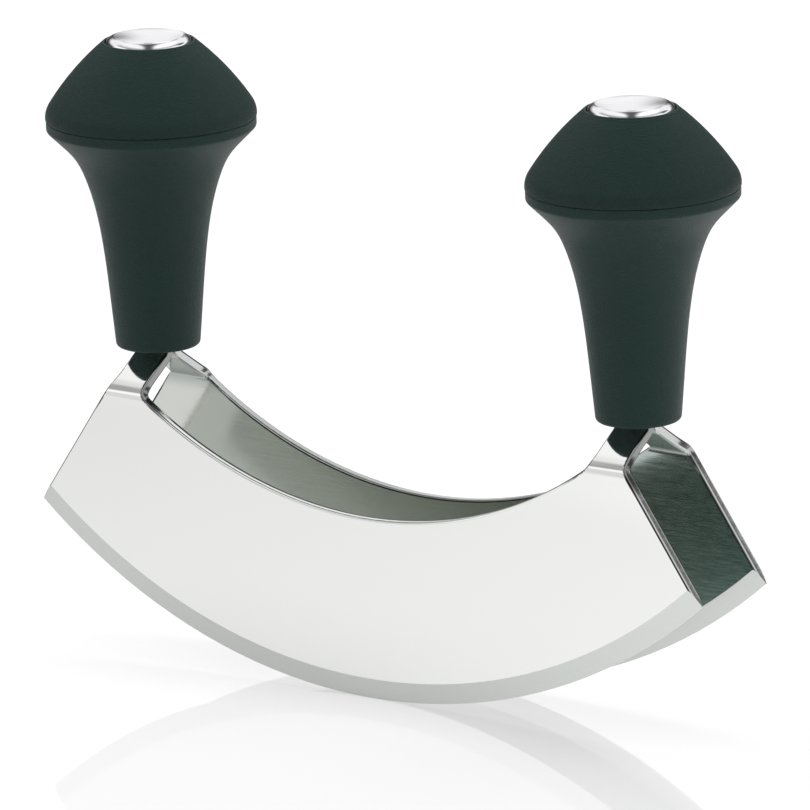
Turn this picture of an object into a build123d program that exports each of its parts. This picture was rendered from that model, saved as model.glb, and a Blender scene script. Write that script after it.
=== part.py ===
"""Twin-bladed mezzaluna: two curved steel blades side by side, carried by two upright knob handles.

Millimetres, +Z up, standing on the lowest point of its cutting edges.
The blades run along X, and Y goes across them. The front blade is at -Y.
"""

import os
from math import cos, radians, sin, sqrt, tan

from build123d import *

# Steel blades
sheet = 2.5
blade_gap = 22.5
blade_length = 195.8
blade_depth = 43.9
edge_radius = 152.4
back_radius = 114.9
outer_bevel_width = 5.0
inner_bevel_width = 4.4
edge_land = 0.2
edge_softening = 0.7

# Necks, bent in from each blade so that a pair of them meets under its handle.
# The handle's axis stands in from the blade's end, and the lower bend lies just below the neck's hollow.
end_to_handle = 26.6
neck_width = 9.6
bend_drop = 0.3
lean_angle = 55.9
bend_radius = 1.5
neck_top_height = 1.0
neck_root_rise = 1.5
neck_root_radius = 8.0
neck_hollow_radius = 4.0

# Tangs, back to back inside the handle, with a notch for the stud
tang_width = 8.4
tang_height = 22.0
tang_corner_radius = 1.2
notch_depth = 8.0

# Stud, washer and locking nut that hold the handle down
stud_diameter = 5.0
stud_chamfer = 0.5
nut_thread_reach = 1.2
washer_diameter = 14.5
washer_thickness = 1.2
washer_bore_gap = 0.15
nut_across_flats = 8.0
nut_hex_height = 4.0
nut_collar_height = 1.2
nut_collar_wall = 1.1
thread_gap = 0.05

# Lower handle moulding: a stem that flares out like a trumpet
stem_height = 55.5
foot_radius = 10.0
foot_rounding = 1.1
knob_radius = 25.0
knob_corner_height = 2.4
knob_corner_rounding = 1.0
stem_wall = 3.4
cavity_floor_height = 25.0
tower_radius = 6.0
tower_drop = 3.5
rib_count = 6
rib_thickness = 1.6
stem_rib_drop = 8.0
slot_gap = 0.25
bore_gap = 0.3
lip_height = 2.0
lip_wall = 1.5

# Radius of the flare at shares of its height: (height share, share of the growth in radius)
flare_shares = ((0.19, 0.060), (0.49, 0.172), (0.79, 0.425), (0.885, 0.605), (0.953, 0.831))
flare_start_angle = 5.0
flare_end_angle = 45.0

# Upper handle moulding: a dome that closes the stem
dome_height = 18.5
dome_shoulder_height = 2.1
dome_shoulder_rounding = 5.6
dome_flank_radius = 66.0
dome_overlap = 0.15
dome_wall = 2.8
dome_rib_drop = 3.0
parting_rounding = 0.3
lip_gap = 0.12
rim_wall = 0.5
boss_radius = 7.0

# Steel end cap, drawn from thin sheet and pressed into the top of the dome
cap_diameter = 20.8
cap_sheet = 0.8
cap_skirt = 3.0
cap_crown = 1.1
cap_crown_rounding = 2.0
cap_bulge = 0.25
cap_gap = 0.12
pocket_gap = 0.4
pocket_depth = 7.0

# Overrun of every cut, and how near a wanted place an edge has to lie to be picked
overrun = 1.0
pick = 0.01

half_length = blade_length / 2
handle_x = half_length - end_to_handle
blade_y = (blade_gap + sheet) / 2
tang_y = sheet / 2
neck_inner_x = handle_x - neck_width / 2
neck_outer_x = handle_x + neck_width / 2
tang_inner_x = handle_x - tang_width / 2
tang_outer_x = handle_x + tang_width / 2


def edge_height(x):
    """Height of the rocking edge at a distance x from the middle."""
    return edge_radius - sqrt(edge_radius**2 - x**2)


def back_height(x):
    """Height of the concave back at a distance x from the middle."""
    return blade_depth + back_radius - sqrt(back_radius**2 - x**2)


# The sheet leans over this line, at mid-thickness, and stands upright again above the second one
lean = radians(lean_angle)
lower_bend_z = back_height(neck_inner_x) - bend_drop
upper_bend_z = lower_bend_z + (blade_y - tang_y) / tan(lean)
bend_shift = sheet / 2 * tan(lean / 2)
neck_root_z = lower_bend_z + neck_root_rise

# The foot of each handle sits just above the place where the outer faces of its necks turn upright
foot_z = upper_bend_z + bend_shift + neck_top_height
tang_top_z = foot_z + tang_height
parting_z = foot_z + stem_height
dome_shoulder_z = parting_z + dome_shoulder_height
dome_top_z = parting_z + dome_height
seat_z = dome_top_z - cap_skirt
pocket_z = seat_z - pocket_depth
tower_z = parting_z - tower_drop
nut_height = nut_hex_height + nut_collar_height
stud_top_z = pocket_z + washer_thickness + nut_height + nut_thread_reach

stud_radius = stud_diameter / 2
bore_radius = stud_radius + bore_gap
cap_radius = cap_diameter / 2
recess_radius = cap_radius + cap_gap
rim_radius = recess_radius + rim_wall
pocket_radius = washer_diameter / 2 + pocket_gap
cavity_radius = knob_radius - stem_wall
dome_radius = knob_radius + dome_overlap
lip_radius = cavity_radius + lip_wall


def blade_outline():
    """Flat outline of a blade with its two necks and tangs, seen along Y."""
    tip = (half_length, edge_height(half_length))
    right_side = [
        tip,
        (neck_outer_x, neck_root_z),
        (neck_outer_x, foot_z),
        (tang_outer_x, foot_z),
        (tang_outer_x, tang_top_z),
        (handle_x + stud_radius, tang_top_z),
        (handle_x + stud_radius, tang_top_z - notch_depth),
        (handle_x - stud_radius, tang_top_z - notch_depth),
        (handle_x - stud_radius, tang_top_z),
        (tang_inner_x, tang_top_z),
        (tang_inner_x, foot_z),
        (neck_inner_x, foot_z),
        (neck_inner_x, back_height(neck_inner_x)),
    ]
    left_side = [(-x, z) for x, z in reversed(right_side)]
    edge = ThreePointArc(left_side[-1], (0, 0), right_side[0])
    back = ThreePointArc(right_side[-1], (0, blade_depth), left_side[0])
    outline = make_face([edge, Polyline(right_side), back, Polyline(left_side)])
    roundings = [
        (neck_outer_x, neck_root_z, neck_root_radius),
        (neck_inner_x, back_height(neck_inner_x), neck_hollow_radius),
        (tang_outer_x, tang_top_z, tang_corner_radius),
        (tang_inner_x, tang_top_z, tang_corner_radius),
    ]
    for x, z, radius in roundings:
        corners = [outline.vertices().sort_by_distance((side * x, z, 0))[0] for side in (-1, 1)]
        outline = fillet(corners, radius)
    return Plane.XZ * outline


def bent_section():
    """Section of the bent sheet of the front blade, seen along X."""
    outside = bend_radius + sheet
    line = [
        (-blade_y - sheet / 2, -overrun),
        (-blade_y - sheet / 2, lower_bend_z + bend_shift),
        (-tang_y - sheet / 2, upper_bend_z + bend_shift),
        (-tang_y - sheet / 2, tang_top_z + overrun),
        (-tang_y + sheet / 2, tang_top_z + overrun),
        (-tang_y + sheet / 2, upper_bend_z - bend_shift),
        (-blade_y + sheet / 2, lower_bend_z - bend_shift),
        (-blade_y + sheet / 2, -overrun),
    ]
    radii = [0, outside, bend_radius, 0, 0, outside, bend_radius, 0]
    return Plane.YZ * make_face(FilletPolyline(line, radius=radii, close=True))


def grinding_rings():
    """Two rings that grind the front blade to a V along its rocking edge, leaving a narrow land."""
    axis = Axis((0, 0, edge_radius), (0, 1, 0))
    rings = []
    for side, width in ((-1, outer_bevel_width), (1, inner_bevel_width)):
        taper = (sheet - edge_land) / 2 / width * overrun
        face_y = -blade_y + side * sheet / 2
        land_y = -blade_y + side * edge_land / 2
        corners = [
            (face_y + side * taper, width + overrun),
            (land_y - side * taper, -overrun),
            (face_y + side * taper, -overrun),
        ]
        profile = Plane.YZ * make_face(Polyline(corners, close=True))
        rings.append(revolve(profile, axis))
    return rings


def soften_cut_edges(blade):
    """Round the long cut edges of the bent sheet: ends, backs and necks, on both of its faces."""
    cut_edges = ShapeList()
    for face_y in (-blade_y - sheet / 2, -blade_y + sheet / 2):
        cut_edges += blade.edges().filter_by_position(Axis.Y, face_y - pick, face_y + pick)
    cut_edges = cut_edges.filter_by(Axis.X, reverse=True)
    cut_edges = cut_edges.filter_by_position(Axis.Z, pick, foot_z - pick)
    return fillet(cut_edges, edge_softening)


def make_front_blade():
    """One blade: its outline cut from the bent sheet, cut edges softened, then ground to an edge."""
    outline = extrude(blade_outline(), blade_y + sheet, both=True)
    bent_sheet = extrude(bent_section(), half_length + overrun, both=True)
    blade = soften_cut_edges(outline & bent_sheet)
    for ring in grinding_rings():
        blade -= ring
    return blade


def flare_profile(inset):
    """Half section of the stem's flare, moved in by inset, from the foot to the parting line."""
    growth = knob_radius - foot_radius
    flare_height = stem_height - knob_corner_height
    knob_z = foot_z + flare_height
    points = [(foot_radius - inset, foot_z)]
    for height_share, growth_share in flare_shares:
        points.append((foot_radius + growth_share * growth - inset, foot_z + height_share * flare_height))
    points.append((knob_radius - inset, knob_z))
    start = radians(flare_start_angle)
    end = radians(flare_end_angle)
    flare = Spline(points, tangents=[(sin(start), cos(start)), (sin(end), cos(end))])
    frame = Polyline(points[-1], (knob_radius - inset, parting_z), (0, parting_z), (0, foot_z), points[0])
    return Plane.XZ * make_face([flare, frame])


def round_bar(radius, low_z, high_z):
    """Upright cylinder on the handle's axis, between two heights."""
    return extrude(Pos(0, 0, low_z) * Circle(radius), high_z - low_z)


def ribs(low_z, high_z):
    """Upright radial ribs about the handle's axis, long enough to reach through its wall."""
    length = knob_radius + overrun
    height = high_z - low_z
    rib = Box(length, rib_thickness, height, align=(Align.MIN, Align.CENTER, Align.MIN))
    turn = 360 / rib_count
    return [Rot(0, 0, (index + 0.5) * turn) * Pos(0, 0, low_z) * rib for index in range(rib_count)]


def ring_edge(solid, z):
    """The outermost round edge of a turned solid at a height."""
    circles = solid.edges().filter_by(GeomType.CIRCLE).filter_by_position(Axis.Z, z - pick, z + pick)
    return circles.sort_by(SortBy.RADIUS)[-1]


def make_stem():
    """Lower moulding: flared shell, tower round the stud, ribs between them and a lip at the rim."""
    stem = revolve(flare_profile(0), Axis.Z)
    stem = fillet(ring_edge(stem, parting_z), parting_rounding)
    stem = fillet(ring_edge(stem, parting_z - knob_corner_height), knob_corner_rounding)
    stem = fillet(ring_edge(stem, foot_z), foot_rounding)
    floor_z = foot_z + cavity_floor_height
    lip_z = parting_z + lip_height
    stem += round_bar(lip_radius, parting_z, lip_z)

    hollow = revolve(flare_profile(stem_wall), Axis.Z)
    hollow += round_bar(cavity_radius, parting_z, lip_z + overrun)
    hollow &= round_bar(knob_radius, floor_z, lip_z + overrun)
    hollow -= round_bar(tower_radius, foot_z, tower_z)
    for rib in ribs(foot_z, parting_z - stem_rib_drop):
        hollow -= rib
    stem -= hollow

    slot_height = tang_height + slot_gap
    slot = Box(
        tang_width + 2 * slot_gap,
        2 * sheet + 2 * slot_gap,
        slot_height + overrun,
        align=(Align.CENTER, Align.CENTER, Align.MIN),
    )
    stem -= Pos(0, 0, foot_z - overrun) * slot
    return stem - round_bar(bore_radius, foot_z, tower_z + overrun)


def flank_radius_at(z, inset):
    """Radius of the dome's flank at a height, moved in by inset. The flank is one long arc."""
    rise = dome_top_z - dome_shoulder_z
    run = dome_radius - rim_radius
    chord = sqrt(rise**2 + run**2)
    sag = sqrt(dome_flank_radius**2 - (chord / 2) ** 2)
    centre_r = (dome_radius + rim_radius) / 2 - sag * rise / chord
    centre_z = (dome_top_z + dome_shoulder_z) / 2 - sag * run / chord
    return centre_r + sqrt((dome_flank_radius - inset) ** 2 - (z - centre_z) ** 2)


def flank_arc(low_z, high_z, inset):
    """The flank between two heights, as an arc through three of its points."""
    heights = (low_z, (low_z + high_z) / 2, high_z)
    return ThreePointArc([(flank_radius_at(z, inset), z) for z in heights])


def make_dome():
    """Upper moulding: domed shell with a central boss, ribs, a pocket for the nut and the cap's seat."""
    flank = flank_arc(dome_shoulder_z, dome_top_z, 0)
    frame = Polyline(
        (rim_radius, dome_top_z),
        (0, dome_top_z),
        (0, parting_z),
        (dome_radius, parting_z),
        (dome_radius, dome_shoulder_z),
    )
    dome = revolve(Plane.XZ * make_face([flank, frame]), Axis.Z)
    dome = fillet(ring_edge(dome, dome_shoulder_z), dome_shoulder_rounding)
    dome = fillet(ring_edge(dome, parting_z), parting_rounding)

    rebate_radius = lip_radius + lip_gap
    rebate_z = parting_z + lip_height + lip_gap
    ceiling_z = seat_z - dome_wall
    inner_flank = flank_arc(rebate_z, ceiling_z, dome_wall)
    inner_frame = Polyline(
        inner_flank @ 1,
        (0, ceiling_z),
        (0, parting_z),
        (rebate_radius, parting_z),
        (rebate_radius, rebate_z),
        inner_flank @ 0,
    )
    hollow = revolve(Plane.XZ * make_face([inner_flank, inner_frame]), Axis.Z)
    hollow -= round_bar(boss_radius, parting_z, ceiling_z)
    hollow -= round_bar(pocket_radius + dome_wall, pocket_z - dome_wall, ceiling_z)
    for rib in ribs(parting_z + dome_rib_drop, ceiling_z):
        hollow -= rib
    dome -= hollow

    dome += round_bar(boss_radius, tower_z, parting_z + overrun)
    dome -= round_bar(bore_radius, tower_z, pocket_z)
    dome -= round_bar(pocket_radius, pocket_z, seat_z)
    return dome - round_bar(recess_radius, seat_z, dome_top_z + overrun)


def cap_form(inset):
    """Outer form of the end cap, moved in by inset: a skirt under a low crown with a rounded edge."""
    radius = cap_radius - inset
    crown_z = dome_top_z + cap_crown - inset
    top_arc = ThreePointArc(*[
        (share * radius, crown_z + cap_bulge * (1 - share**2)) for share in (0, 0.5, 1)
    ])
    frame = Polyline((radius, crown_z), (radius, seat_z), (0, seat_z), (0, crown_z + cap_bulge))
    form = revolve(Plane.XZ * make_face([top_arc, frame]), Axis.Z)
    return fillet(ring_edge(form, crown_z), cap_crown_rounding - inset)


def make_cap():
    """End cap drawn from thin sheet, open below, standing on the seat in the dome."""
    return cap_form(0) - cap_form(cap_sheet)


def make_stud():
    """Threaded stud, welded into the notch between the two tangs."""
    stud = round_bar(stud_radius, tang_top_z - notch_depth, stud_top_z)
    return chamfer(ring_edge(stud, stud_top_z), stud_chamfer)


def make_washer():
    """Wide flat washer on the floor of the pocket."""
    washer = round_bar(washer_diameter / 2, pocket_z, pocket_z + washer_thickness)
    return washer - round_bar(stud_radius + washer_bore_gap, pocket_z, pocket_z + washer_thickness)


def make_nut():
    """Hexagon nut with a round collar that holds its locking ring."""
    base_z = pocket_z + washer_thickness
    hexagon = RegularPolygon(nut_across_flats / 2, 6, major_radius=False)
    nut = extrude(Pos(0, 0, base_z) * hexagon, nut_hex_height)
    nut += round_bar(stud_radius + nut_collar_wall, base_z, base_z + nut_height)
    return nut - round_bar(stud_radius + thread_gap, base_z, base_z + nut_height)


def build():
    """Every piece in its place, by name."""
    front_blade = make_front_blade()
    pieces = {"front_blade": front_blade, "rear_blade": mirror(front_blade, Plane.XZ)}
    handle_pieces = {
        "handle_stem": make_stem(),
        "handle_dome": make_dome(),
        "tang_stud": make_stud(),
        "nut_washer": make_washer(),
        "lock_nut": make_nut(),
        "end_cap": make_cap(),
    }
    for side, x in (("left", -handle_x), ("right", handle_x)):
        for name, piece in handle_pieces.items():
            pieces[f"{side}_{name}"] = Pos(x, 0, 0) * piece
    return pieces


if __name__ == "__main__":
    os.makedirs("parts", exist_ok=True)
    for name, piece in build().items():
        export_step(piece, f"parts/{name}.step")
        print(name, round(piece.volume), "mm3")
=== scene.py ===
# %% [markdown]
# # A twin-bladed mezzaluna
#
# This kitchen tool has two curved steel blades, side by side, and a knob handle over each end of the pair.
# The blades are stamped from stainless sheet. Their outer faces are mirror polished, their inner faces are
# brushed, and the rocking edge is ground. Each handle is two plastic mouldings under a drawn steel cap.
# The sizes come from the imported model, so the first cell loads it and keeps the box that it fills.

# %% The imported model
from math import asin, cos, pi, radians, sin, sqrt, tan

import bmesh
import bpy
import numpy as np
from mathutils import Matrix, Vector


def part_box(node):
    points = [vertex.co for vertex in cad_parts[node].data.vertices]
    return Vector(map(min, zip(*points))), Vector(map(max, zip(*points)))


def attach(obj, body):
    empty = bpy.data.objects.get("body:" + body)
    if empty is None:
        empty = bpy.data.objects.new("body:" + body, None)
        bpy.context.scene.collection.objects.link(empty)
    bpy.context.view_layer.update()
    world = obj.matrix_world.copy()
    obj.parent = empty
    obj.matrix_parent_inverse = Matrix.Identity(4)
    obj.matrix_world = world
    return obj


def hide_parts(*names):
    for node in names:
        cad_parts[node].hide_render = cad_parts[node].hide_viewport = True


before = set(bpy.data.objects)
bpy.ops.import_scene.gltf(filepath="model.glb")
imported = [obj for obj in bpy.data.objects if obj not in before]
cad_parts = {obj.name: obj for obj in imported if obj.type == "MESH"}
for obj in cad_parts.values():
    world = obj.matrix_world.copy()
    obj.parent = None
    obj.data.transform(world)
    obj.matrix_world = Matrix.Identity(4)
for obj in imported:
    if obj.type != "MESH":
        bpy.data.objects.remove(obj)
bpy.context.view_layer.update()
mm = 0.001
body = "root"
print("nodes:", sorted(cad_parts))

# %% [markdown]
# ## Colours and nodes
#
# Colours are easiest to compare with a picture as sRGB hex values, but shaders work on linear light, so one
# function turns the first into the second. A second function adds any node with its settings and its links.


# %% Helpers for colours and nodes
def linear(hex_colour):
    """Scene-linear RGBA of an sRGB hex colour."""
    channels = [int(hex_colour[k:k + 2], 16) / 255 for k in (1, 3, 5)]
    rgb = [c / 12.92 if c <= 0.04045 else ((c + 0.055) / 1.055) ** 2.4 for c in channels]
    return (*rgb, 1.0)


def add(tree, kind, inputs=None, **settings):
    """Adds a node. Settings are its properties, and inputs are values, or sockets to link from."""
    node = tree.nodes.new(kind)
    for name, value in settings.items():
        setattr(node, name, value)
    for key, value in (inputs or {}).items():
        if isinstance(value, bpy.types.NodeSocket):
            tree.links.new(value, node.inputs[key])
        else:
            node.inputs[key].default_value = value
    return node


def start_material(name, colour, metallic=0.0):
    """A material with a principled shader, and its tree, shader and object coordinates."""
    material = bpy.data.materials.new(name)
    material.use_nodes = True
    tree = material.node_tree
    tree.nodes.clear()
    shader = add(tree, "ShaderNodeBsdfPrincipled", {"Base Color": linear(colour), "Metallic": metallic})
    add(tree, "ShaderNodeOutputMaterial", {"Surface": shader.outputs[0]})
    place = add(tree, "ShaderNodeTexCoord").outputs["Object"]
    return material, tree, shader, place


# %% [markdown]
# ## Camera
#
# The picture was taken from well back with a long lens, from the right and a little above, so the two knobs
# look almost the same size. The camera is placed by its bearing round the tool, its height angle, a slight
# roll and its distance, and it is aimed at a point near the middle of the tool.

# %% Camera
camera_bearing = radians(38.065)
camera_height_angle = radians(13.807)
camera_roll = -0.0281  # radians
camera_distance = 3.2398
camera_lens = 613.1  # mm, on the usual 36 mm sensor
camera_target = Vector((2.667 * mm, 0, 68.70 * mm))

towards_camera = Vector((
    sin(camera_bearing) * cos(camera_height_angle),
    -cos(camera_bearing) * cos(camera_height_angle),
    sin(camera_height_angle),
))
camera_data = bpy.data.cameras.new("photo camera")
camera_data.lens = camera_lens
camera = bpy.data.objects.new("photo camera", camera_data)
bpy.context.collection.objects.link(camera)
aimed = towards_camera.to_track_quat("Z", "Y").to_matrix().to_4x4()
set_back = Matrix.Translation(camera_target + camera_distance * towards_camera)
camera.matrix_world = set_back @ aimed @ Matrix.Rotation(camera_roll, 4, "Z")
bpy.context.scene.camera = camera
print("camera at", [round(v, 3) for v in camera.matrix_world.translation])

# %% [markdown]
# ## Steel finishes
#
# Stainless steel keeps one colour and changes its look with the way its surface was made.
#
# - A buffed face mirrors the room, with a faint drag of the buffing wheel along the blade. Above the bend the
#   sheet eases into the neck, which the eye sees as a soft grey band with a dark lower border.
# - A brushed face has long fine marks and blurs what it mirrors across them. At the right end it shows scratches,
#   and a cooler tone is painted there as a reflection of the green-black handles. The necks, where the sheet is
#   bent, are painted darker as painted shade.
# - A ground bevel has marks that follow the rocking edge.
# - A blanked edge is cut by a punch, which shears the sheet first and then tears it. The sheared part is bright
#   with speckles across it. A dark line along the inner corner is partly the part where it tore and partly
#   painted shade, and painted shade also greys the front necks' edges and the rear edge and necks.
# - The cap is drawn from sheet and polished, so its crown mirrors the ceiling with a slight ripple.
#
# Each pattern has a real size in millimetres. Marks finer than a pixel wouldn't show, so they are drawn as
# coarse as they need to be. The easing above the bend and part of the cap's doming are drawn by bump, since
# they are tenths of a millimetre high and only bend the reflections.


# %% Marks and shades
noise_spread = (0.3, 0.7)


def add_marks(tree, shader, vector, size, depth, roughness):
    """Fine marks in a noise pattern: their size in metres, their depth, and the roughness they vary between."""
    noise = add(tree, "ShaderNodeTexNoise", {"Vector": vector, "Scale": 1 / size, "Detail": 3.0})
    weak, strong = noise_spread
    low, high = roughness
    spread = add(tree, "ShaderNodeMapRange", {0: noise.outputs["Fac"], 1: weak, 2: strong, 3: low, 4: high})
    tree.links.new(spread.outputs[0], shader.inputs["Roughness"])
    bump = add(tree, "ShaderNodeBump", {"Height": noise.outputs["Fac"], "Strength": 1.0, "Distance": depth})
    tree.links.new(bump.outputs["Normal"], shader.inputs["Normal"])
    return bump.outputs["Normal"]


def shade_towards(tree, shader, share, colour):
    """Mixes the shader's colour with another one, by a share that is read from a socket."""
    base = shader.inputs["Base Color"]
    first = base.links[0].from_socket if base.links else tuple(base.default_value)
    mixed = add(tree, "ShaderNodeMix", {0: share, 6: first, 7: linear(colour)}, data_type="RGBA")
    tree.links.new(mixed.outputs[2], base)


# %% Polished sheet
soft = {"interpolation_type": "SMOOTHSTEP"}
drag_stretch = 0.02
easing_heights = (65.65 * mm, 67.75 * mm)
easing_depth = 0.50 * mm
easing_lateness = 1.2  # above 1, the sheet eases slowly at first and faster higher up


def buffed_stainless():
    """Mirror-polished sheet, with a faint drag of the wheel along it. Above the bend, the sheet eases into it."""
    material, tree, shader, place = start_material("buffed stainless sheet", "#E6E7E5", 1.0)
    drag = add(tree, "ShaderNodeMapping", {"Vector": place, "Scale": (drag_stretch, 1, 1)})
    marks = add_marks(tree, shader, drag.outputs[0], size=0.8 * mm, depth=0.0006 * mm, roughness=(0.06, 0.10))
    height = add(tree, "ShaderNodeSeparateXYZ", {0: place}).outputs["Z"]
    low, high = easing_heights
    rise = add(tree, "ShaderNodeMapRange", {0: height, 1: low, 2: high}).outputs[0]
    late = add(tree, "ShaderNodeMath", {0: rise, 1: easing_lateness}, operation="POWER").outputs[0]
    easing = add(tree, "ShaderNodeMapRange", {0: late}, **soft)
    bent = add(tree, "ShaderNodeBump", {
        "Height": easing.outputs[0], "Strength": 1.0, "Distance": easing_depth, "Normal": marks,
    })
    tree.links.new(bent.outputs[0], shader.inputs["Normal"])
    return material


# %% Brushed sheet
brushing_map = "Brushing"
painted_neck_shade_heights = (60 * mm, 65 * mm)
painted_reflection_reach = (30 * mm, 75 * mm)
brushing_stretch, scratch_stretch = 0.03, 0.08
scratch_width, scratch_shine = 0.35 * mm, 0.86
scratch_spread = (0.40, 0.70)


def brushed_stainless():
    """Sheet brushed lengthwise, which blurs reflections up and down.

    It is scratched to the right, where a cooler tone is painted as a reflection of the handles, and painted shade
    darkens the neck.
    """
    material, tree, shader, place = start_material("brushed stainless sheet", "#CED1CC", 1.0)
    shader.inputs["Anisotropic"].default_value = 0.7
    shader.inputs["Anisotropic Rotation"].default_value = 0.25
    grain = add(tree, "ShaderNodeTangent", direction_type="UV_MAP", uv_map=brushing_map)
    tree.links.new(grain.outputs[0], shader.inputs["Tangent"])
    lengthwise = add(tree, "ShaderNodeMapping", {"Vector": place, "Scale": (brushing_stretch, 1, 1)})
    add_marks(tree, shader, lengthwise.outputs[0], size=0.6 * mm, depth=0.006 * mm, roughness=(0.10, 0.16))
    axes = add(tree, "ShaderNodeSeparateXYZ", {0: place}).outputs
    low, high = painted_reflection_reach
    # Painted reflection: a cooler, greener tone towards the right end stands in for the mirrored green-black handles.
    painted_reflection_share = add(tree, "ShaderNodeMapRange", {0: axes["X"], 1: low, 2: high}, **soft)
    shade_towards(tree, shader, painted_reflection_share.outputs[0], "#BBCAC7")
    worn = add(tree, "ShaderNodeMapRange", {0: painted_reflection_share.outputs[0], 3: 1.0, 4: scratch_shine}).outputs[0]
    short = add(tree, "ShaderNodeMapping", {"Vector": place, "Scale": (scratch_stretch, 1, 1)})
    scratches = add(tree, "ShaderNodeTexNoise", {"Vector": short.outputs[0], "Scale": 1 / scratch_width})
    faint, deep = scratch_spread
    shine = add(tree, "ShaderNodeMapRange", {0: scratches.outputs["Fac"], 1: faint, 2: deep, 3: 1.0, 4: worn})
    tree.links.new(shine.outputs[0], shader.inputs["Metallic"])
    # Painted shade: the brushed faces are painted darker in the necks, under the handles.
    low, high = painted_neck_shade_heights
    painted_neck_shade = add(tree, "ShaderNodeMapRange", {0: axes["Z"], 1: low, 2: high}, **soft)
    shade_towards(tree, shader, painted_neck_shade.outputs[0], "#A2A8A5")
    return material


# %% Ground edge
edge_radius = 152.4 * mm


def ground_bevel():
    """Wet-ground edge: marks along circles about the centre of the rocking edge."""
    material, tree, shader, place = start_material("wet-ground edge", "#C6C9C6", 1.0)
    centred = add(tree, "ShaderNodeVectorMath", {0: place, 1: (0, 0, edge_radius)}, operation="SUBTRACT")
    flat = add(tree, "ShaderNodeVectorMath", {0: centred.outputs[0], 1: (1, 0, 1)}, operation="MULTIPLY")
    radius = add(tree, "ShaderNodeVectorMath", {0: flat.outputs[0]}, operation="LENGTH")
    rings = add(tree, "ShaderNodeCombineXYZ", {"X": radius.outputs["Value"]})
    add_marks(tree, shader, rings.outputs[0], size=0.4 * mm, depth=0.003 * mm, roughness=(0.26, 0.36))
    return material


# %% Cut edge and its corners
inner_face_y = 11.25 * mm
# The line along the inner corner is partly where the sheet tore and partly painted shade. In front, between the necks,
# it widens into a band of painted shade. neck_shade and rear_shade are shares of painted shade on the front necks'
# edges and on the rear back edge and necks.
corner_line_width, front_shade_band_width = 0.12 * mm, 1.25 * mm
front_shade_band_reach = 70 * mm
line_and_shade_heights = (62.0 * mm, 59.5 * mm)
neck_blend, corner_line_fade = 0.9, (1.1, 0.8)
side_blend = 1.0 * mm
neck_shade, rear_shade = 0.72, 0.42
speckle_stretch = 0.3


def paint_edge_line_and_shade(tree, shader, place):
    """Darkens a cut edge along its inner corner, partly where it tore and partly as painted shade, and paints shade on
    necks and rear edge.

    The line stands for the rough part where it tore and for painted shade, so it has no metal and no gloss.
    """
    axes = add(tree, "ShaderNodeSeparateXYZ", {0: place}).outputs
    across = add(tree, "ShaderNodeMath", {0: axes["Y"]}, operation="ABSOLUTE").outputs[0]
    depth = add(tree, "ShaderNodeMath", {0: across, 1: inner_face_y}, operation="SUBTRACT").outputs[0]
    from_middle = add(tree, "ShaderNodeMath", {0: axes["X"]}, operation="ABSOLUTE").outputs[0]
    between_necks = add(tree, "ShaderNodeMapRange", {
        0: from_middle, 1: front_shade_band_reach, 2: neck_blend * front_shade_band_reach,
    })
    in_front = add(tree, "ShaderNodeMapRange", {0: axes["Y"], 1: 0.0, 2: -side_blend})
    wide = add(tree, "ShaderNodeMath", {0: between_necks.outputs[0], 1: in_front.outputs[0]}, operation="MULTIPLY")
    width = add(tree, "ShaderNodeMapRange", {0: wide.outputs[0], 3: corner_line_width, 4: front_shade_band_width}).outputs[0]
    ratio = add(tree, "ShaderNodeMath", {0: depth, 1: width}, operation="DIVIDE").outputs[0]
    fade_from, fade_to = corner_line_fade
    inside = add(tree, "ShaderNodeMapRange", {0: ratio, 1: fade_from, 2: fade_to}).outputs[0]
    low, high = line_and_shade_heights
    below_bend = add(tree, "ShaderNodeMapRange", {0: axes["Z"], 1: low, 2: high}).outputs[0]
    line = add(tree, "ShaderNodeMath", {0: inside, 1: below_bend}, operation="MULTIPLY").outputs[0]
    # Painted shade: the front necks' edges, and the rear back edge and necks, are mixed towards the dark colour.
    above_bend = add(tree, "ShaderNodeMapRange", {0: axes["Z"], 1: high, 2: low}).outputs[0]
    front_grey = add(tree, "ShaderNodeMapRange", {0: axes["Y"], 1: 0.0, 2: -side_blend, 4: neck_shade}).outputs[0]
    neck = add(tree, "ShaderNodeMath", {0: above_bend, 1: front_grey}, operation="MULTIPLY").outputs[0]
    back_and_necks = add(tree, "ShaderNodeMath", {0: between_necks.outputs[0], 1: above_bend}, operation="MAXIMUM")
    rear_grey = add(tree, "ShaderNodeMapRange", {0: axes["Y"], 1: 0.0, 2: side_blend, 4: rear_shade}).outputs[0]
    rear = add(tree, "ShaderNodeMath", {0: back_and_necks.outputs[0], 1: rear_grey}, operation="MULTIPLY").outputs[0]
    grey = add(tree, "ShaderNodeMath", {0: neck, 1: rear}, operation="MAXIMUM").outputs[0]
    line_and_shade = add(tree, "ShaderNodeMath", {0: line, 1: grey}, operation="MAXIMUM").outputs[0]
    shade_towards(tree, shader, line_and_shade, "#2C302E")
    bare = add(tree, "ShaderNodeMath", {0: 1.0, 1: line}, operation="SUBTRACT").outputs[0]
    tree.links.new(bare, shader.inputs["Metallic"])
    shader.inputs["Specular IOR Level"].default_value = 0.0


def blanked_edge():
    """Cut edge of the sheet: duller steel, speckled across its thickness, with a dark inner line, partly where it tore
    and partly painted shade.
    """
    material, tree, shader, place = start_material("blanked sheet edge", "#E2E5E3", 1.0)
    across = add(tree, "ShaderNodeMapping", {"Vector": place, "Scale": (1, speckle_stretch, 1)})
    add_marks(tree, shader, across.outputs[0], size=0.5 * mm, depth=0.012 * mm, roughness=(0.12, 0.22))
    paint_edge_line_and_shade(tree, shader, place)
    return material


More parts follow.
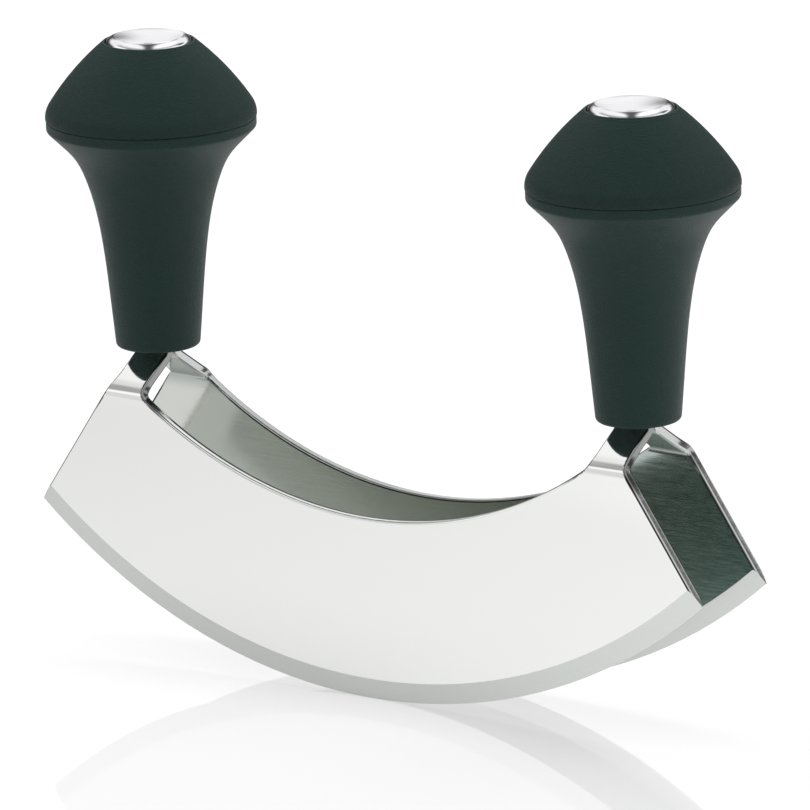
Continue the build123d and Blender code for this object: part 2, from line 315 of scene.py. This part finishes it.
def tumbled_edge():
    """Rounded corner of the sheet, smoothed in a tumbling drum: bright outside, with the same dark line inside, partly
    painted shade.
    """
    material, tree, shader, place = start_material("tumbled sheet corner", "#DFE1DF", 1.0)
    add_marks(tree, shader, place, size=1.5 * mm, depth=0.002 * mm, roughness=(0.06, 0.12))
    paint_edge_line_and_shade(tree, shader, place)
    return material


# %% Cap and fasteners
handle_x = 71.3 * mm
cap_doming = 6.2  # per metre: the crown falls by this times the square of the distance from its axis


def cap_stainless():
    """Deep-drawn cap, polished after pressing: a slight ripple, on a crown that is domed towards its rim."""
    material, tree, shader, place = start_material("polished drawn stainless", "#E9E9EC", 1.0)
    ripple = add_marks(tree, shader, place, size=5.0 * mm, depth=0.02 * mm, roughness=(0.12, 0.18))
    folded = add(tree, "ShaderNodeVectorMath", {0: place}, operation="ABSOLUTE")
    centred = add(tree, "ShaderNodeVectorMath", {0: folded.outputs[0], 1: (handle_x, 0, 0)}, operation="SUBTRACT")
    flat = add(tree, "ShaderNodeVectorMath", {0: centred.outputs[0], 1: (1, 1, 0)}, operation="MULTIPLY").outputs[0]
    fall = add(tree, "ShaderNodeVectorMath", {0: flat, 1: flat}, operation="DOT_PRODUCT").outputs["Value"]
    rise = add(tree, "ShaderNodeMath", {0: 0.0, 1: fall}, operation="SUBTRACT")
    domed = add(tree, "ShaderNodeBump", {
        "Height": rise.outputs[0], "Strength": 1.0, "Distance": cap_doming, "Normal": ripple,
    })
    tree.links.new(domed.outputs[0], shader.inputs["Normal"])
    return material


def plain_fastener():
    """Turned stainless fasteners, which the handles hide."""
    material, tree, shader, place = start_material("turned stainless fastener", "#B9BBB9", 1.0)
    add_marks(tree, shader, place, size=0.3 * mm, depth=0.003 * mm, roughness=(0.28, 0.42))
    return material


# %% [markdown]
# ## Blades
#
# Each blade is one sheet with its necks bent inward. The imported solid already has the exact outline, bends and
# ground edge, so the piece shown is a copy of its mesh. The copy's triangles are loose and have to be merged
# before they can be shaded smoothly. Each triangle then gets a finish by its place. One that lies wholly in the
# plane of the inner or the outer face is brushed or buffed. The ground edge lies outside a circle about the
# centre of the rocking arc. In the bends and necks the sheet leans, so there its two sides are told apart by
# where they face. What is left is the cut edge: blanked where it is square to the sheet, and tumbled where it
# turns over to a face.

# %% Sizes of the blades
blade_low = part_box("front_blade")[0]
outer_bevel_width = 5.0 * mm
inner_bevel_width = 4.4 * mm
lower_bend_z = 64.8 * mm
bend_reach = 2.2 * mm
flat_tolerance = 0.002 * mm
merge_distance = 0.001 * mm
crease_angle = radians(35)
print("outer faces at", round(-blade_low.y / mm, 3), "mm on each side of the middle")

# %% Blades
blade_finishes = [buffed_stainless(), brushed_stainless(), ground_bevel(), blanked_edge(), tumbled_edge()]
BUFFED, BRUSHED, GROUND, BLANKED, TUMBLED = range(len(blade_finishes))
# Limits on the parts of a face's unit normal, by which its place on the sheet is told
faces_out, upright, beside_ends, square_to_sheet = 0.9, 0.97, 0.12, 0.15


def finish_of(face, side):
    """The finish of one face of a blade, by where it lies and which way it points."""
    centre, normal = face.calc_center_median(), face.normal
    radius = Vector((centre.x, centre.z - edge_radius)).length
    outward = side * normal.y > 0
    depths = [abs(vert.co.y) for vert in face.verts]
    for plane, finish in ((inner_face_y, BRUSHED), (-blade_low.y, BUFFED)):
        if all(abs(depth - plane) < flat_tolerance for depth in depths):
            return finish
    bevel_width = outer_bevel_width if outward else inner_bevel_width
    below_bend = centre.z < lower_bend_z - bend_reach
    if below_bend and abs(normal.y) > faces_out and radius > edge_radius - bevel_width:
        return GROUND
    if not below_bend and abs(normal.x) < beside_ends:
        leaning_out = outward if abs(normal.y) > upright else normal.z > 0
        return BUFFED if leaning_out else BRUSHED
    return BLANKED if abs(normal.y) < square_to_sheet else TUMBLED


def make_blade(node, side):
    """A smooth copy of an imported blade, with its finishes. Side is -1 in front and 1 behind."""
    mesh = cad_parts[node].data.copy()
    mesh.materials.clear()
    for material in blade_finishes:
        mesh.materials.append(material)
    shape = bmesh.new()
    shape.from_mesh(mesh)
    bmesh.ops.remove_doubles(shape, verts=shape.verts, dist=merge_distance)
    grain = shape.loops.layers.uv.new(brushing_map)
    for face in shape.faces:
        face.smooth = True
        face.material_index = finish_of(face, side)
        for loop in face.loops:
            loop[grain].uv = (loop.vert.co.x, loop.vert.co.z)
    for edge in shape.edges:
        finishes = {face.material_index for face in edge.link_faces}
        steep = len(edge.link_faces) == 2 and edge.calc_face_angle() > crease_angle
        edge.smooth = not steep and not (GROUND in finishes and len(finishes) > 1)
    shape.to_mesh(mesh)
    shape.free()
    piece = bpy.data.objects.new(f"{node}_sheet", mesh)
    bpy.context.collection.objects.link(piece)
    weighted = piece.modifiers.new("flat faces stay flat", "WEIGHTED_NORMAL")
    weighted.keep_sharp = True
    return piece


blades = {node: make_blade(node, side) for node, side in (("front_blade", -1), ("rear_blade", 1))}
for node, piece in blades.items():
    counts = np.bincount([face.material_index for face in piece.data.polygons], minlength=len(blade_finishes))
    print(node, "faces by finish:", counts.tolist())

# %% [markdown]
# ## Plastic finishes
#
# The handles are injection moulded in a green-black plastic such as polypropylene. The stem's mould is
# smooth and finely blasted, so it takes a broad soft highlight. The dome's mould is spark eroded, which leaves
# a fine pebbled grain that breaks the highlight up and sparkles along the outline.


# %% Plastic finishes
plastic_gloss = 0.2


def moulded_plastic(name, colour, grain_size, grain_depth, roughness):
    """Moulded polypropylene with a grain of the given size and depth, in metres."""
    material, tree, shader, place = start_material(name, colour)
    shader.inputs["Specular IOR Level"].default_value = plastic_gloss
    add_marks(tree, shader, place, grain_size, grain_depth, roughness)
    return material


stem_plastic = moulded_plastic(
    "blasted moulded polypropylene", "#122D29", grain_size=0.32 * mm, grain_depth=0.40 * mm, roughness=(0.38, 0.48),
)
dome_plastic = moulded_plastic(
    "spark-eroded polypropylene", "#142A27", grain_size=0.34 * mm, grain_depth=0.42 * mm, roughness=(0.42, 0.56),
)

# %% [markdown]
# ## Turned handles
#
# The stem, the dome and the cap are all round, so each is a profile turned about the handle's axis. A small
# Geometry Nodes tree does the turning: it makes a grid with one row for each point of the profile and one
# column for each step round the axis, and moves each grid point to its profile point, turned by its angle. The
# profiles are drawn with straight runs, arcs and one smooth curve for the flare.


# %% A tree that turns a profile
def make_turning_tree():
    """Geometry Nodes that turn a profile, drawn in the XZ plane, about an upright axis."""
    tree = bpy.data.node_groups.new("turned about an axis", "GeometryNodeTree")
    for name, kind in (
        ("Profile", "Geometry"), ("Segments", "Int"), ("Axis", "Vector"), ("Sharp Angle", "Float"),
        ("Finish", "Material"),
    ):
        tree.interface.new_socket(name, in_out="INPUT", socket_type=f"NodeSocket{kind}")
    tree.interface.new_socket("Geometry", in_out="OUTPUT", socket_type="NodeSocketGeometry")
    given = add(tree, "NodeGroupInput").outputs
    points = add(tree, "GeometryNodeAttributeDomainSize", {0: given["Profile"]}).outputs["Point Count"]
    columns = add(tree, "ShaderNodeMath", {0: given["Segments"], 1: 1.0}, operation="ADD")
    grid = add(tree, "GeometryNodeMeshGrid", {
        "Size X": 1.0, "Size Y": 1.0, "Vertices X": points, "Vertices Y": columns.outputs[0],
    })
    position = add(tree, "GeometryNodeInputPosition").outputs[0]
    # The grid is one metre wide and centred, so half a metre more makes its places run from 0 to 1.
    shifted = add(tree, "ShaderNodeVectorMath", {0: position, 1: (0.5, 0.5, 0)}, operation="ADD")
    shares = add(tree, "ShaderNodeSeparateXYZ", {0: shifted.outputs[0]}).outputs
    last = add(tree, "ShaderNodeMath", {0: points, 1: 1.0}, operation="SUBTRACT")
    row = add(tree, "ShaderNodeMath", {0: shares["X"], 1: last.outputs[0]}, operation="MULTIPLY")
    index = add(tree, "FunctionNodeFloatToInt", {0: row.outputs[0]}, rounding_mode="ROUND")
    sample = add(tree, "GeometryNodeSampleIndex", {
        "Geometry": given["Profile"], "Value": position, "Index": index.outputs[0],
    }, data_type="FLOAT_VECTOR")
    angle = add(tree, "ShaderNodeMath", {0: shares["Y"], 1: 2 * pi}, operation="MULTIPLY")
    turned = add(tree, "ShaderNodeVectorRotate", {
        "Vector": sample.outputs["Value"], "Angle": angle.outputs[0],
    }, rotation_type="Z_AXIS")
    placed = add(tree, "ShaderNodeVectorMath", {0: turned.outputs[0], 1: given["Axis"]}, operation="ADD")
    shape = add(tree, "GeometryNodeSetPosition", {"Geometry": grid.outputs["Mesh"], "Position": placed.outputs[0]})
    closed = add(tree, "GeometryNodeMergeByDistance", {"Geometry": shape.outputs[0], "Distance": merge_distance})
    smooth = add(tree, "GeometryNodeSetShadeSmooth", {"Geometry": closed.outputs[0], "Shade Smooth": True})
    bend = add(tree, "GeometryNodeInputMeshEdgeAngle").outputs["Unsigned Angle"]
    corner = add(tree, "ShaderNodeMath", {0: bend, 1: given["Sharp Angle"]}, operation="GREATER_THAN")
    crisp = add(tree, "GeometryNodeSetShadeSmooth", {
        "Geometry": smooth.outputs[0], "Selection": corner.outputs[0], "Shade Smooth": False,
    }, domain="EDGE")
    real = add(tree, "GeometryNodeRealizeInstances", {"Geometry": crisp.outputs[0]})
    finish = add(tree, "GeometryNodeSetMaterial", {"Geometry": real.outputs[0], "Material": given["Finish"]})
    add(tree, "NodeGroupOutput", {0: finish.outputs[0]})
    return tree


turning_tree = make_turning_tree()
turning_inputs = {item.name: item.identifier for item in turning_tree.interface.items_tree if item.in_out == "INPUT"}
turn_segments = 144
sharp_angle = radians(40)
mm3 = mm**3


def turn_piece(name, profile, axis_x, finish):
    """A turned piece as a plain mesh. The profile is a list of (radius, height) points."""
    mesh = bpy.data.meshes.new(name)
    mesh.from_pydata([(r, 0, z) for r, z in profile], [(k, k + 1) for k in range(len(profile) - 1)], [])
    piece = bpy.data.objects.new(name, mesh)
    bpy.context.collection.objects.link(piece)
    turning = piece.modifiers.new("turning", "NODES")
    turning.node_group = turning_tree
    turning[turning_inputs["Segments"]] = turn_segments
    turning[turning_inputs["Axis"]] = (axis_x, 0.0, 0.0)
    turning[turning_inputs["Sharp Angle"]] = sharp_angle
    turning[turning_inputs["Finish"]] = finish
    graph = bpy.context.evaluated_depsgraph_get()
    piece.data = bpy.data.meshes.new_from_object(piece.evaluated_get(graph))
    piece.modifiers.clear()
    shape = bmesh.new()
    shape.from_mesh(piece.data)
    bmesh.ops.recalc_face_normals(shape, faces=shape.faces)
    print(name, len(shape.faces), "faces,", round(shape.calc_volume() / mm3), "mm3")
    shape.to_mesh(piece.data)
    shape.free()
    return piece


# %% Lines for the profiles
def rounded(points, radii, steps=6):
    """The line through the points, with an arc of the given radius at each point whose radius isn't zero."""
    points = [Vector(point) for point in points]
    line = [points[0]]
    for before, corner, after, radius in zip(points, points[1:], points[2:], radii[1:]):
        if radius == 0:
            line.append(corner)
            continue
        back = (before - corner).normalized()
        ahead = (after - corner).normalized()
        half = back.angle(ahead) / 2
        centre = corner + (back + ahead).normalized() * radius / sin(half)
        start = corner + back * radius / tan(half) - centre
        turn = (pi - 2 * half) * (1 if back.x * ahead.y - back.y * ahead.x < 0 else -1)
        for k in range(steps + 1):
            spoke = start.copy()
            spoke.rotate(Matrix.Rotation(turn * k / steps, 2))
            line.append(centre + spoke)
    line.append(points[-1])
    return line


def smooth_curve(heights, radii, start_slope, end_slope, steps):
    """Radii of a clamped cubic curve through the given points, and the heights they belong to."""
    heights, radii = np.array(heights), np.array(radii)
    gaps = np.diff(heights)
    rises = np.diff(radii) / gaps
    count = len(heights)
    matrix = np.eye(count)
    right = np.array([start_slope, *np.zeros(count - 2), end_slope])
    for k in range(1, count - 1):
        matrix[k, k - 1:k + 2] = (1 / gaps[k - 1], 2 / gaps[k - 1] + 2 / gaps[k], 1 / gaps[k])
        right[k] = 3 * (rises[k - 1] / gaps[k - 1] + rises[k] / gaps[k])
    slopes = np.linalg.solve(matrix, right)
    wanted = np.linspace(heights[0], heights[-1], steps + 1)
    run = np.clip(np.searchsorted(heights, wanted, side="right") - 1, 0, count - 2)
    t = (wanted - heights[run]) / gaps[run]
    bow = t * (1 - t) * gaps[run]
    straight = radii[run] * (1 - t) + radii[run + 1] * t
    curve = straight + bow * ((slopes[run] - rises[run]) * (1 - t) - (slopes[run + 1] - rises[run]) * t)
    return list(zip(curve.tolist(), wanted.tolist()))


def arc_through(start, end, radius, steps):
    """Points of an arc between two points that bulges away from the axis."""
    start, end = Vector(start), Vector(end)
    chord = end - start
    reach = sqrt(radius**2 - (chord.length / 2) ** 2)
    centre = (start + end) / 2 + Vector((-chord.y, chord.x)).normalized() * reach
    turn = 2 * asin(chord.length / 2 / radius)
    line = []
    for k in range(steps + 1):
        spoke = start - centre
        spoke.rotate(Matrix.Rotation(turn * k / steps, 2))
        line.append(centre + spoke)
    return line


# %% Sizes of the handles
stem_low, stem_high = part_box("left_handle_stem")
dome_low, dome_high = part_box("left_handle_dome")
cap_low, cap_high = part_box("left_end_cap")
foot_z = stem_low[2]
lip_height = 2.0 * mm
parting_z = stem_high[2] - lip_height
dome_top_z = dome_high[2]
seat_z = cap_low[2]
cap_top_z = cap_high[2]
knob_radius = (stem_high[0] - stem_low[0]) / 2
dome_radius = (dome_high[0] - dome_low[0]) / 2
cap_radius = (cap_high[0] - cap_low[0]) / 2
foot_radius = 10.0 * mm
foot_rounding = 1.1 * mm
knob_corner_height = 2.4 * mm
knob_corner_rounding = 1.0 * mm
parting_rounding = 0.3 * mm
dome_shoulder_height = 2.1 * mm
dome_shoulder_rounding = 5.6 * mm
dome_flank_radius = 66.0 * mm
cap_gap = 0.12 * mm
rim_wall = 0.5 * mm
cap_sheet = 0.8 * mm
cap_crown_rounding = 2.0 * mm
cap_bulge = 0.25 * mm
flare_height_shares = (0.19, 0.49, 0.79, 0.885, 0.953)
flare_growth_shares = (0.060, 0.172, 0.425, 0.605, 0.831)
flare_start_angle = radians(5)
flare_end_angle = radians(45)
flare_steps, flank_steps, rim_steps, crown_steps = 36, 9, 8, 10
crown_shares = (0.8, 0.6, 0.4, 0.2, 0)
print("handle axis at", round((stem_low[0] + stem_high[0]) / 2 / mm, 2), "mm")


# %% Stem
def stem_profile():
    """Foot, flare and knob of the lower moulding, up to the parting line."""
    knob_z = parting_z - knob_corner_height
    growth = knob_radius - foot_radius
    heights = [foot_z, *(foot_z + share * (knob_z - foot_z) for share in flare_height_shares), knob_z]
    radii = [foot_radius, *(foot_radius + share * growth for share in flare_growth_shares), knob_radius]
    flare = smooth_curve(heights, radii, tan(flare_start_angle), tan(flare_end_angle), flare_steps)
    line = [(0, foot_z), *flare, (knob_radius, parting_z), (0, parting_z)]
    roundings = [0, foot_rounding, *[0] * (len(flare) - 2), knob_corner_rounding, parting_rounding, 0]
    return rounded(line, roundings)


# %% Dome
def dome_profile():
    """Upper moulding: its flank, its rim and the recess that holds the cap."""
    shoulder_z = parting_z + dome_shoulder_height
    recess_radius = cap_radius + cap_gap
    rim_radius = recess_radius + rim_wall
    flank = arc_through((dome_radius, shoulder_z), (rim_radius, dome_top_z), dome_flank_radius, flank_steps)
    line = [
        (0, parting_z), (dome_radius, parting_z), *flank,
        (recess_radius, dome_top_z), (recess_radius, seat_z), (0, seat_z),
    ]
    roundings = [0, parting_rounding, dome_shoulder_rounding, *[0] * (len(flank) - 1), 0, 0, 0]
    return rounded(line, roundings, rim_steps)


# %% Cap
def cap_line(inset):
    """Outer line of the cap, moved in by inset, from its lower rim to its middle."""
    radius = cap_radius - inset
    crown_z = cap_top_z - cap_bulge - inset
    skirt_and_crown = [(radius, seat_z), (radius, crown_z), (0, crown_z)]
    corner = rounded(skirt_and_crown, [0, cap_crown_rounding - inset, 0], crown_steps)
    crown = [(share * radius, crown_z + cap_bulge * (1 - share**2)) for share in crown_shares]
    return [*corner[:-1], *crown]


def cap_profile():
    """The drawn cap: its outer line and its inner line, one sheet thickness apart."""
    return [*reversed(cap_line(0)), *cap_line(cap_sheet)]


# %% Both handles
handle_parts = {
    "stem": (stem_profile(), "handle_stem", stem_plastic, "stem_plastic"),
    "dome": (dome_profile(), "handle_dome", dome_plastic, "dome_plastic"),
    "cap": (cap_profile(), "end_cap", cap_stainless(), "cap_steel"),
}
turned = []
for side in ("left", "right"):
    low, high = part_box(f"{side}_handle_stem")
    for part, (profile, node, finish, slot) in handle_parts.items():
        piece = turn_piece(f"{side}_{part}", profile, (low[0] + high[0]) / 2, finish)
        turned.append((piece, f"{side}_{node}", slot))

# %% [markdown]
# ## Fasteners
#
# A stud, a washer and a locking nut hold each handle down, inside the mouldings. Nothing shows of them, so the
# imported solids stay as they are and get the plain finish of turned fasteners.

# %% Fasteners
fastener_finish = plain_fastener()
for name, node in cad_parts.items():
    if name.endswith(("tang_stud", "nut_washer", "lock_nut")):
        node.data.materials.clear()
        node.data.materials.append(fastener_finish)

# %% [markdown]
# ## Studio
#
# The tool stands on a glossy white table, which mirrors it faintly. Polished steel shows the room more than
# itself, so the room matters. Flat faces mirror the table, and rounded edges sweep over everything else, which
# draws the thin light and dark lines along every edge. Each place in the room is given by its direction from the
# tool: its height, and how far it lies ahead, towards the viewer, to the right, or aside to either hand.
#
# - Bright panels stand in front and at both sides, and a bright ceiling hangs above a darker gap.
# - The back wall is dark below and light above, with one narrow bright sheet in its middle.
# - Dark places are the slot that is left open for the camera, a boom over the table, an open door, and a low
#   wall at the right. The far end of the left panel is a little dimmer than the rest.
# - What the steel mirrors of the table is a painted glow: painted brighter to the right and with a painted pool
#   of light in front, and fading to dark far behind the tool.
#
# The camera itself sees plain white. The room was worked out from the reflections in one picture, so it makes
# that picture's view look right and is a guess for the others.

# %% Directions in the room
to_viewer = Vector((towards_camera.x, towards_camera.y, 0)).normalized()
to_right = Vector((-to_viewer.y, to_viewer.x, 0))
world = bpy.data.worlds.new("studio room")
world.use_nodes = True
bpy.context.scene.world = world
room_tree = world.node_tree
room_tree.nodes.clear()
direction = add(room_tree, "ShaderNodeTexCoord").outputs["Generated"]
room_axes = {
    name: add(room_tree, "ShaderNodeVectorMath", {0: direction, 1: axis}, operation="DOT_PRODUCT").outputs["Value"]
    for name, axis in (("height", (0, 0, 1)), ("ahead", to_viewer), ("right", to_right))
}
room_axes["aside"] = add(room_tree, "ShaderNodeMath", {0: room_axes["right"]}, operation="ABSOLUTE").outputs[0]
print("the viewer stands towards", [round(v, 3) for v in to_viewer])

# %% Walls and ceiling
panel_level, back_dark, back_light, ceiling_level = 1.2, 0.05, 1.05, 1.22
sheet_light, gap_share = 1.05, 0.38
back_heights, gap_heights, ceiling_heights = (0.20, 0.42), (0.48, 0.55), (0.53, 0.80)
sheet_reach, away_reach, panel_reach = (0.09, 0.03), (-0.15, -0.45), (0.75, 0.5)
tilt_reach, tilt_levels = (-0.8, 0.8), (0.85, 1.2)
back_wall = add(room_tree, "ShaderNodeMapRange", {
    0: room_axes["height"], 1: back_heights[0], 2: back_heights[1], 3: back_dark, 4: back_light,
}, **soft)
back_sheet = add(room_tree, "ShaderNodeMapRange", {
    0: room_axes["aside"], 1: sheet_reach[0], 2: sheet_reach[1], 3: back_dark, 4: sheet_light,
}, **soft)
back = add(room_tree, "ShaderNodeMath", {0: back_wall.outputs[0], 1: back_sheet.outputs[0]}, operation="MAXIMUM")
away = add(room_tree, "ShaderNodeMapRange", {0: room_axes["ahead"], 1: away_reach[0], 2: away_reach[1]}, **soft)
left_of_panel = add(room_tree, "ShaderNodeMapRange", {
    0: room_axes["right"], 1: panel_reach[0], 2: panel_reach[1],
}, **soft)
behind = add(room_tree, "ShaderNodeMath", {0: away.outputs[0], 1: left_of_panel.outputs[0]}, operation="MULTIPLY")
walls = add(room_tree, "ShaderNodeMix", {0: behind.outputs[0], 2: panel_level, 3: back.outputs[0]}, data_type="FLOAT")
gap = add(room_tree, "ShaderNodeMapRange", {
    0: room_axes["height"], 1: gap_heights[0], 2: gap_heights[1], 3: 1.0, 4: gap_share,
}, **soft)
front_gap = add(room_tree, "ShaderNodeMix", {0: away.outputs[0], 2: gap.outputs[0], 3: 1.0}, data_type="FLOAT")
below_ceiling = add(room_tree, "ShaderNodeMath", {0: walls.outputs[0], 1: front_gap.outputs[0]}, operation="MULTIPLY")
ceiling = add(room_tree, "ShaderNodeMapRange", {
    0: room_axes["height"], 1: ceiling_heights[0], 2: ceiling_heights[1], 3: 0.0, 4: ceiling_level,
}, **soft)
tilt = add(room_tree, "ShaderNodeMapRange", {
    0: room_axes["right"], 1: tilt_reach[0], 2: tilt_reach[1], 3: tilt_levels[0], 4: tilt_levels[1],
})
tilted = add(room_tree, "ShaderNodeMath", {0: ceiling.outputs[0], 1: tilt.outputs[0]}, operation="MULTIPLY")
room_level = add(room_tree, "ShaderNodeMath", {
    0: below_ceiling.outputs[0], 1: tilted.outputs[0],
}, operation="MAXIMUM").outputs[0]

# %% Dark places in the room
# Each place has its level, and its borders: the axis, where the border starts, and where the place is full.
dark_places = {
    "slot for the camera": (0.03, [
        ("right", -0.86, -0.78), ("right", 0.40, 0.15), ("height", 0.56, 0.44), ("ahead", 0.0, 0.2),
    ]),
    "boom over the table": (0.10, [("aside", 0.26, 0.08), ("ahead", -0.75, -0.45)]),
    "open door": (0.12, [
        ("right", 0.68, 0.74), ("ahead", 0.0, -0.15), ("ahead", -0.60, -0.45), ("height", 0.36, 0.44),
        ("height", 0.66, 0.58),
    ]),
    "low wall at the right": (0.12, [("right", 0.42, 0.55), ("ahead", 0.05, -0.15), ("height", 0.30, 0.22)]),
    "dim end of the left panel": (0.85, [("right", -0.84, -0.90), ("ahead", 0.05, 0.15), ("height", 0.38, 0.30)]),
}
for name, (dark_level, edges) in dark_places.items():
    darkness = 1.0
    for axis, outside, inside in edges:
        edge = add(room_tree, "ShaderNodeMapRange", {0: room_axes[axis], 1: outside, 2: inside}, **soft)
        darkness = add(room_tree, "ShaderNodeMath", {
            0: edge.outputs[0], 1: darkness,
        }, operation="MULTIPLY").outputs[0]
    room_level = add(room_tree, "ShaderNodeMix", {
        0: darkness, 2: room_level, 3: dark_level,
    }, data_type="FLOAT").outputs[0]
    print(name, "at level", dark_level)

seen = add(room_tree, "ShaderNodeLightPath").outputs["Is Camera Ray"]
strength = add(room_tree, "ShaderNodeMix", {0: seen, 2: room_level, 3: 1.0}, data_type="FLOAT").outputs[0]
room = add(room_tree, "ShaderNodeBackground", {"Color": (1, 1, 1, 1), "Strength": strength})
add(room_tree, "ShaderNodeOutputWorld", {"Surface": room.outputs[0]})

# %% Table
table_size = 6.0
mirror_share = 0.25
glow_share, mirrored_glow_share = 0.7, 0.6
lit_to, dark_from, far_level = 0.40, 0.75, 0.08
left_level, right_level = 0.76, 1.13
sideways_reach = (-0.25, 0.12)
lit_reach, lit_level = (0.01, 0.07), 1.25
pool_axis, pool_reach, pool_level = (0.15, -1, 0), (0.165, 0.200), 1.13
table_drop = 0.02 * mm  # keeps the table clear of the cutting edges
lacquer_roughness = 0.04
table_mesh = bpy.data.meshes.new("table")
half_side = table_size / 2
table_corners = [(x * half_side, y * half_side, 0) for x, y in ((-1, -1), (1, -1), (1, 1), (-1, 1))]
table_mesh.from_pydata(table_corners, [], [(0, 1, 2, 3)])
table = bpy.data.objects.new("table", table_mesh)
table.location.z = -table_drop
bpy.context.collection.objects.link(table)
table_finish = bpy.data.materials.new("white lacquered table")
table_finish.use_nodes = True
table_tree = table_finish.node_tree
table_tree.nodes.clear()
path = add(table_tree, "ShaderNodeLightPath").outputs
straight = add(table_tree, "ShaderNodeMath", {0: path["Is Camera Ray"], 1: path["Is Glossy Ray"]}, operation="MAXIMUM")
spot = add(table_tree, "ShaderNodeTexCoord").outputs["Object"]
# Painted light: the glow that the steel mirrors is brighter to the right, has a pool of light in front, and fades to
# dark far behind the tool.
back_from_tool = add(table_tree, "ShaderNodeVectorMath", {
    0: spot, 1: -to_viewer,
}, operation="DOT_PRODUCT").outputs["Value"]
fading = add(table_tree, "ShaderNodeMapRange", {
    0: back_from_tool, 1: lit_to, 2: dark_from, 3: 1.0, 4: far_level,
}, **soft)
spot_x = add(table_tree, "ShaderNodeSeparateXYZ", {0: spot}).outputs["X"]
sideways = add(table_tree, "ShaderNodeMapRange", {
    0: spot_x, 1: sideways_reach[0], 2: sideways_reach[1], 3: left_level, 4: right_level,
})
towards_pool = add(table_tree, "ShaderNodeVectorMath", {
    0: spot, 1: pool_axis,
}, operation="DOT_PRODUCT").outputs["Value"]
pool = add(table_tree, "ShaderNodeMapRange", {
    0: towards_pool, 1: pool_reach[0], 2: pool_reach[1], 3: 1.0, 4: pool_level,
}, **soft)
pooled = add(table_tree, "ShaderNodeMath", {0: pool.outputs[0], 1: sideways.outputs[0]}, operation="MULTIPLY")
lit_right = add(table_tree, "ShaderNodeMapRange", {
    0: spot_x, 1: lit_reach[0], 2: lit_reach[1], 3: 1.0, 4: lit_level,
}, **soft)
near = add(table_tree, "ShaderNodeMath", {0: pooled.outputs[0], 1: lit_right.outputs[0]}, operation="MULTIPLY")
mirrored = add(table_tree, "ShaderNodeMath", {0: fading.outputs[0], 1: near.outputs[0]}, operation="MULTIPLY")
light = add(table_tree, "ShaderNodeMix", {0: path["Is Camera Ray"], 2: mirrored.outputs[0], 3: 1.0}, data_type="FLOAT")
paint = add(table_tree, "ShaderNodeBsdfDiffuse", {"Color": linear("#F2F2F2")})
glow = add(table_tree, "ShaderNodeEmission", {"Color": (1, 1, 1, 1), "Strength": light.outputs[0]})
glow_seen = add(table_tree, "ShaderNodeMix", {
    0: path["Is Camera Ray"], 2: mirrored_glow_share, 3: glow_share,
}, data_type="FLOAT")
shown = add(table_tree, "ShaderNodeMath", {0: straight.outputs[0], 1: glow_seen.outputs[0]}, operation="MULTIPLY")
white = add(table_tree, "ShaderNodeMixShader", {0: shown.outputs[0], 1: paint.outputs[0], 2: glow.outputs[0]})
lacquer = add(table_tree, "ShaderNodeBsdfAnisotropic", {"Color": (1, 1, 1, 1), "Roughness": lacquer_roughness})
mirror = add(table_tree, "ShaderNodeMath", {0: path["Is Camera Ray"], 1: mirror_share}, operation="MULTIPLY")
surface = add(table_tree, "ShaderNodeMixShader", {0: mirror.outputs[0], 1: white.outputs[0], 2: lacquer.outputs[0]})
add(table_tree, "ShaderNodeOutputMaterial", {"Surface": surface.outputs[0]})
table_mesh.materials.append(table_finish)

# %% Lamp
lamp_data = bpy.data.lights.new("overhead softbox", "AREA")
lamp_data.shape = "RECTANGLE"
lamp_data.size = 1.2
lamp_data.size_y = 0.8
lamp_data.energy = 15
lamp = bpy.data.objects.new("overhead softbox", lamp_data)
lamp.location = (-0.2, 0.2, 1.4)
lamp.visible_glossy = False
bpy.context.collection.objects.link(lamp)

# %% Render settings that belong to the looks
scene = bpy.context.scene
scene.view_settings.view_transform = "Standard"
scene.cycles.max_bounces = 16
scene.cycles.glossy_bounces = 12

# %% [markdown]
# ## Handing the pieces over
#
# Every piece rides on the one rigid body, and stands in for the imported solid that it was made from, which is
# hidden.

# %% Pieces and their body
for node, piece in blades.items():
    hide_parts(node)
    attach(piece, body)
for piece, node, slot in turned:
    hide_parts(node)
    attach(piece, body)
